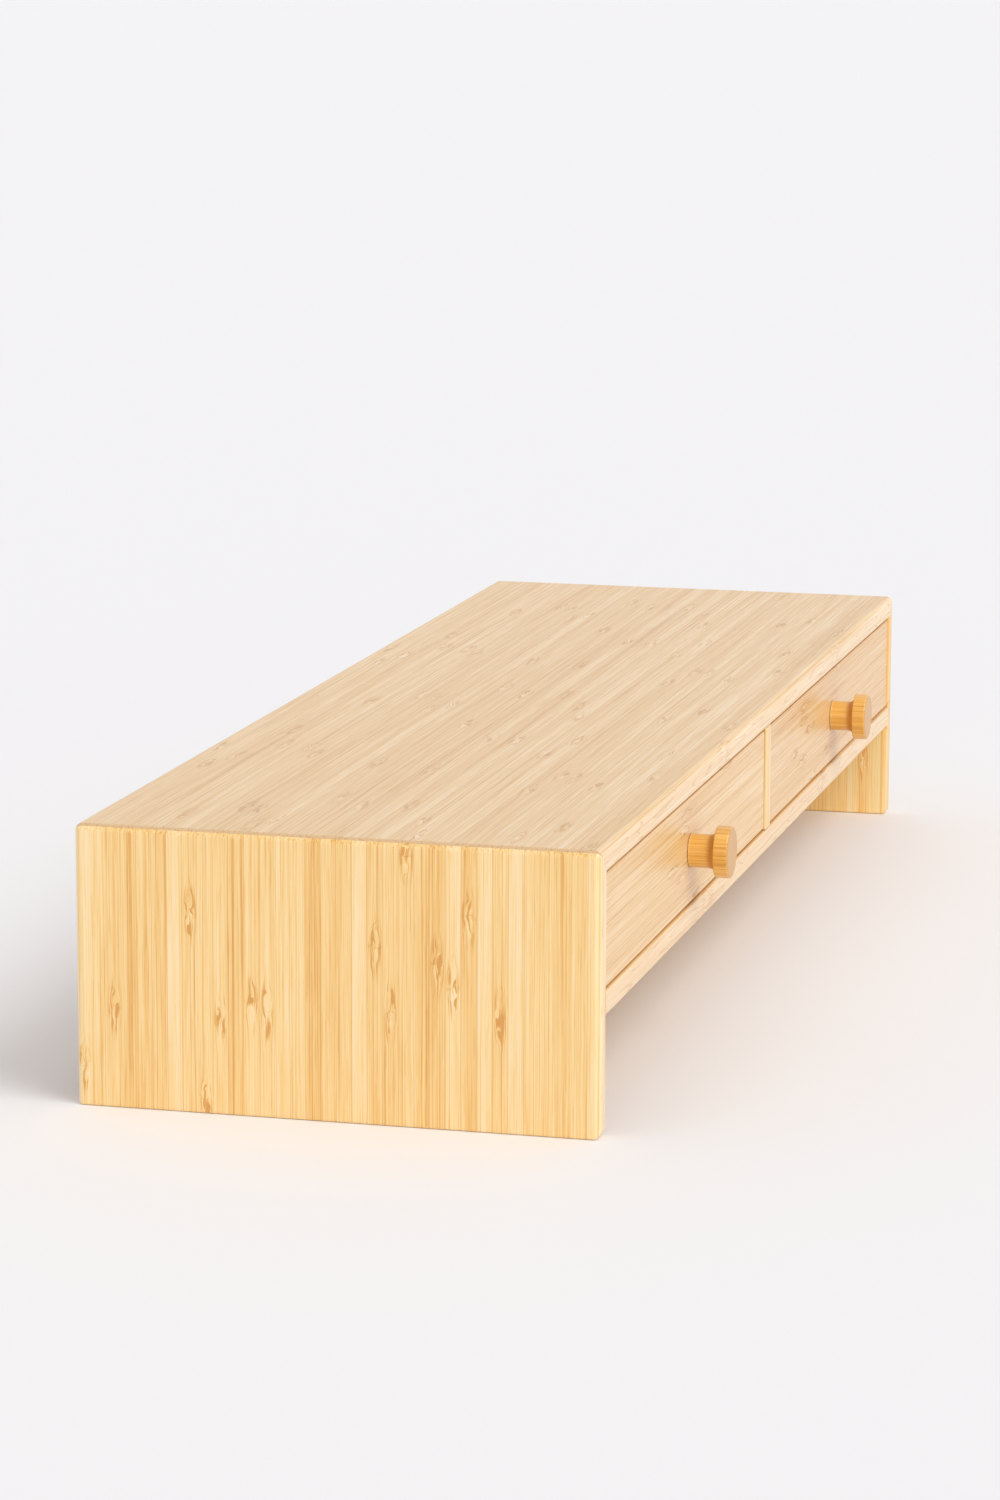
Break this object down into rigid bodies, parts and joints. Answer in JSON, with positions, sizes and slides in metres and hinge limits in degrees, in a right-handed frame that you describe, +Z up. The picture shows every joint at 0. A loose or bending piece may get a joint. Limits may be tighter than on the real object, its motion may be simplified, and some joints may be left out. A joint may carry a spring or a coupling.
{
  "type": "monitor stand",
  "caption": "Low, long bamboo monitor stand on two end panels, with a shelf, a divider and side-by-side drawers with turned knobs under a mitred top.",
  "frame": {"origin": "on the table, under the middle of the whole stand's box, knobs included", "axes": "+X along the length, +Y towards the back, drawers open towards -Y, +Z up"},
  "size_m": [0.63, 0.2158, 0.107],
  "materials": {
    "top_bamboo": "side-pressed natural bamboo, grain along the length, satin lacquer",
    "panel_bamboo": "side-pressed natural bamboo, upright grain, satin lacquer",
    "front_bamboo": "side-pressed natural bamboo, grain along the length, satin lacquer",
    "inner_bamboo": "side-pressed natural bamboo, sanded, thin matt lacquer",
    "turned_bamboo": "turned bamboo, satin lacquer",
    "dowel_wood": "plain bamboo rod",
    "zinc_steel": "zinc plated screw"
  },
  "bodies": {
    "case": {"top_board": "top_bamboo", "left_side_panel": "panel_bamboo", "right_side_panel": "panel_bamboo", "shelf": "front_bamboo", "divider": "panel_bamboo", "back_panel": "inner_bamboo", "left_mitre_spline": "dowel_wood", "right_mitre_spline": "dowel_wood", "left_shelf_dowel_1": "dowel_wood", "left_shelf_dowel_2": "dowel_wood", "left_shelf_dowel_3": "dowel_wood", "right_shelf_dowel_1": "dowel_wood", "right_shelf_dowel_2": "dowel_wood", "right_shelf_dowel_3": "dowel_wood", "divider_top_dowel_1": "dowel_wood", "divider_top_dowel_2": "dowel_wood", "divider_bottom_dowel_1": "dowel_wood", "divider_bottom_dowel_2": "dowel_wood"},
    "left_drawer": {"left_drawer_front": "front_bamboo", "left_drawer_left_side": "inner_bamboo", "left_drawer_right_side": "inner_bamboo", "left_drawer_back": "inner_bamboo", "left_drawer_bottom": "inner_bamboo", "left_drawer_pin_1": "dowel_wood", "left_drawer_pin_2": "dowel_wood", "left_drawer_pin_3": "dowel_wood", "left_drawer_pin_4": "dowel_wood", "left_drawer_pin_5": "dowel_wood", "left_drawer_pin_6": "dowel_wood", "left_drawer_pin_7": "dowel_wood", "left_drawer_pin_8": "dowel_wood", "left_drawer_knob": "turned_bamboo", "left_drawer_knob_screw": "zinc_steel"},
    "right_drawer": {"right_drawer_front": "front_bamboo", "right_drawer_left_side": "inner_bamboo", "right_drawer_right_side": "inner_bamboo", "right_drawer_back": "inner_bamboo", "right_drawer_bottom": "inner_bamboo", "right_drawer_pin_1": "dowel_wood", "right_drawer_pin_2": "dowel_wood", "right_drawer_pin_3": "dowel_wood", "right_drawer_pin_4": "dowel_wood", "right_drawer_pin_5": "dowel_wood", "right_drawer_pin_6": "dowel_wood", "right_drawer_pin_7": "dowel_wood", "right_drawer_pin_8": "dowel_wood", "right_drawer_knob": "turned_bamboo", "right_drawer_knob_screw": "zinc_steel"}
  },
  "joints": [
    {"name": "left_drawer_slide", "type": "slide", "parent": "case", "child": "left_drawer", "axis": [0, -1, 0], "range_m": [0, 0.14]},
    {"name": "right_drawer_slide", "type": "slide", "parent": "case", "child": "right_drawer", "axis": [0, -1, 0], "range_m": [0, 0.14]}
  ]
}
